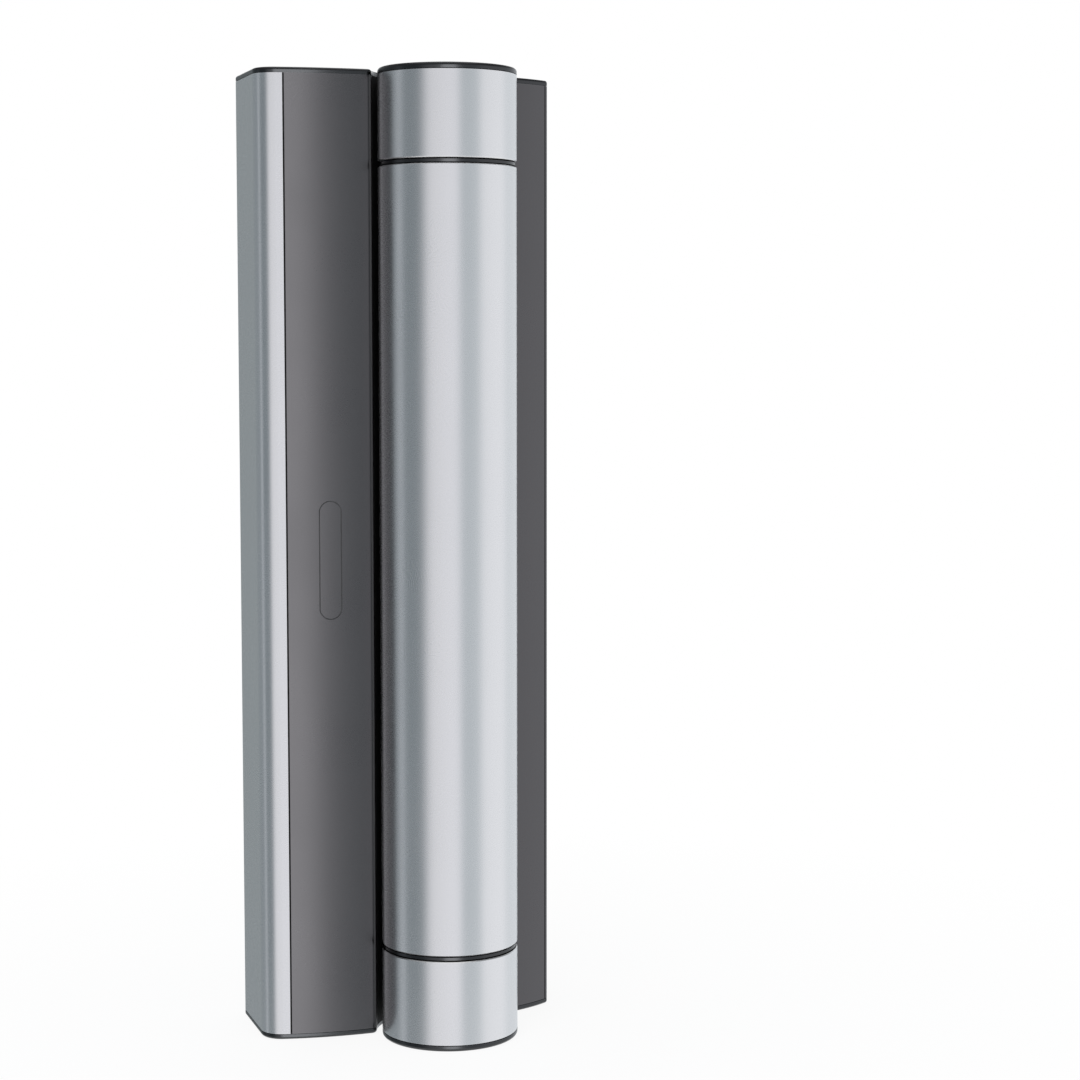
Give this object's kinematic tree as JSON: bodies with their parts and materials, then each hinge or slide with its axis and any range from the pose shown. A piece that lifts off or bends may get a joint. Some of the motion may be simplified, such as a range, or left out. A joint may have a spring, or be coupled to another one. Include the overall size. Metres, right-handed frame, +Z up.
{
  "type": "motorised gate hinge",
  "caption": "Electric swing gate hinge: a geared motor inside a round barrel, a covered leaf for the post and a leaf for the gate held by two knuckles.",
  "frame": {"origin": "centre of the barrel's underside, on the hinge axis", "axes": "+Z up along the hinge axis, -Y towards the front, +X towards the gate leaf when closed"},
  "size_m": [0.137, 0.088, 0.4236],
  "materials": {
    "clear_aluminium": "satin anodised",
    "dark_aluminium": "dark grey satin anodised",
    "dark_caps": "dark satin",
    "ring_plastic": "dark satin",
    "screw_steel": "plain",
    "gear_steel": "ground",
    "bronze": "plain",
    "cast_parts": "plain",
    "motor_steel": "plain",
    "copper": "enamelled wire",
    "magnet": "plated",
    "circuit_board": "solder mask",
    "board_plastic": "plain",
    "lead_rubber": "plain"
  },
  "bodies": {
    "post_side": {"post_housing": "clear_aluminium", "post_cover": "dark_aluminium", "post_cap_top": "dark_caps", "post_cap_bottom": "dark_caps", "post_cap_screws": "screw_steel", "barrel_tube": "clear_aluminium", "tube_screws": "screw_steel", "plug_screws": "screw_steel", "lower_plug": "cast_parts", "upper_plug": "cast_parts", "lower_bush": "bronze", "upper_bush": "bronze", "lower_ring": "ring_plastic", "upper_ring": "ring_plastic", "ring_gear": "gear_steel", "gearbox_screws": "screw_steel", "motor_flange": "cast_parts", "motor_bearings": "gear_steel", "motor_can": "motor_steel", "stator": "motor_steel", "end_windings": "copper", "motor_end_bell": "cast_parts", "brake_body": "motor_steel", "encoder_housing": "cast_parts", "encoder_board": "circuit_board", "control_board": "circuit_board", "board_standoffs": "motor_steel", "board_screws": "screw_steel", "board_parts": "board_plastic", "terminal_block": "board_plastic", "motor_lead": "lead_rubber", "cable_grommet": "lead_rubber"},
    "gate_side": {"gate_leaf": "dark_aluminium", "gate_cover": "dark_aluminium", "gate_cap_top": "dark_caps", "gate_cap_bottom": "dark_caps", "gate_cap_screws": "screw_steel", "knuckle_bottom": "clear_aluminium", "knuckle_top": "clear_aluminium", "knuckle_screws": "screw_steel", "barrel_cap_bottom": "dark_caps", "barrel_cap_top": "dark_caps", "output_carrier": "gear_steel", "output_pins": "gear_steel", "shaft_key": "gear_steel", "pivot_pin": "gear_steel"},
    "rotor": {"rotor_shaft": "gear_steel", "rotor_magnets": "magnet", "brake_disc": "motor_steel", "encoder_magnet": "magnet"},
    "input_stage": {"input_carrier": "gear_steel", "input_pins": "gear_steel"},
    "output_planet_1": {"output_planet_1": "gear_steel"},
    "output_planet_2": {"output_planet_2": "gear_steel"},
    "output_planet_3": {"output_planet_3": "gear_steel"},
    "input_planet_1": {"input_planet_1": "gear_steel"},
    "input_planet_2": {"input_planet_2": "gear_steel"},
    "input_planet_3": {"input_planet_3": "gear_steel"}
  },
  "joints": [
    {"name": "gate_swing", "type": "hinge", "parent": "post_side", "child": "gate_side", "pos_m": [0, 0, 0], "axis": [0, 0, -1], "range_deg": [0, 180]},
    {"name": "input_stage_spin", "type": "hinge", "parent": "post_side", "child": "input_stage", "pos_m": [0, 0, 0], "axis": [0, 0, -1], "range_deg": [0, 900]},
    {"name": "rotor_spin", "type": "hinge", "parent": "post_side", "child": "rotor", "pos_m": [0, 0, 0], "axis": [0, 0, -1], "range_deg": [0, 4500]},
    {"name": "output_planet_1_spin", "type": "hinge", "parent": "gate_side", "child": "output_planet_1", "pos_m": [0.01312, 0, 0], "axis": [0, 0, -1], "range_deg": [-480, 0]},
    {"name": "output_planet_2_spin", "type": "hinge", "parent": "gate_side", "child": "output_planet_2", "pos_m": [-0.00656, 0.01137, 0], "axis": [0, 0, -1], "range_deg": [-480, 0]},
    {"name": "output_planet_3_spin", "type": "hinge", "parent": "gate_side", "child": "output_planet_3", "pos_m": [-0.00656, -0.01137, 0], "axis": [0, 0, -1], "range_deg": [-480, 0]},
    {"name": "input_planet_1_spin", "type": "hinge", "parent": "input_stage", "child": "input_planet_1", "pos_m": [0.01312, 0, 0], "axis": [0, 0, -1], "range_deg": [-2400, 0]},
    {"name": "input_planet_2_spin", "type": "hinge", "parent": "input_stage", "child": "input_planet_2", "pos_m": [-0.00656, 0.01137, 0], "axis": [0, 0, -1], "range_deg": [-2400, 0]},
    {"name": "input_planet_3_spin", "type": "hinge", "parent": "input_stage", "child": "input_planet_3", "pos_m": [-0.00656, -0.01137, 0], "axis": [0, 0, -1], "range_deg": [-2400, 0]}
  ],
  "couplings": [
    {"joint": "input_stage_spin", "follows": "gate_swing", "ratio": 5},
    {"joint": "rotor_spin", "follows": "gate_swing", "ratio": 25},
    {"joint": "output_planet_1_spin", "follows": "gate_swing", "ratio": -2.6667},
    {"joint": "output_planet_2_spin", "follows": "gate_swing", "ratio": -2.6667},
    {"joint": "output_planet_3_spin", "follows": "gate_swing", "ratio": -2.6667},
    {"joint": "input_planet_1_spin", "follows": "gate_swing", "ratio": -13.333},
    {"joint": "input_planet_2_spin", "follows": "gate_swing", "ratio": -13.333},
    {"joint": "input_planet_3_spin", "follows": "gate_swing", "ratio": -13.333}
  ]
}
